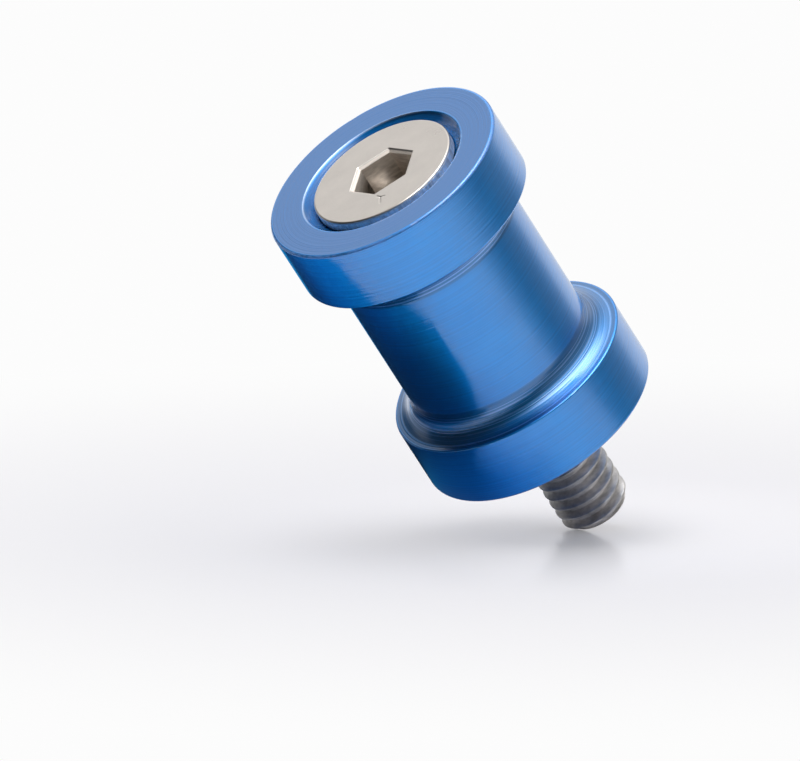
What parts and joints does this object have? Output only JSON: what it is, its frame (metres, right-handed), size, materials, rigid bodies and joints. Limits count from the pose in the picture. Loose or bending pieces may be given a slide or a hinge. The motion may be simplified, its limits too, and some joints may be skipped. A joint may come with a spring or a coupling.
{
  "type": "swingarm spool",
  "caption": "Grooved blue aluminium bobbin held by a countersunk hexagon-socket screw, which bolts to a motorbike swingarm so that a stand's hooks can lift it.",
  "frame": {"origin": "centre of the mounting seat, where the thread leaves the bobbin's flat lower face", "axes": "+Z along the bobbin's axis, from the seat towards the screw's head; +X through a corner of the screw's hexagon socket"},
  "size_m": [0.026, 0.026, 0.0477],
  "materials": {
    "anodised_aluminium": "blue anodised over fine turning marks, satin",
    "screw_steel": "plain steel, satin head, darker rolled thread"
  },
  "bodies": {
    "spool": {"spool_body": "anodised_aluminium"},
    "screw": {"countersunk_screw": "screw_steel"}
  },
  "joints": [
    {"name": "screw_turn", "type": "hinge", "parent": "spool", "child": "screw", "pos_m": [0, 0, 0], "axis": [0, 0, 1], "continuous": true}
  ]
}
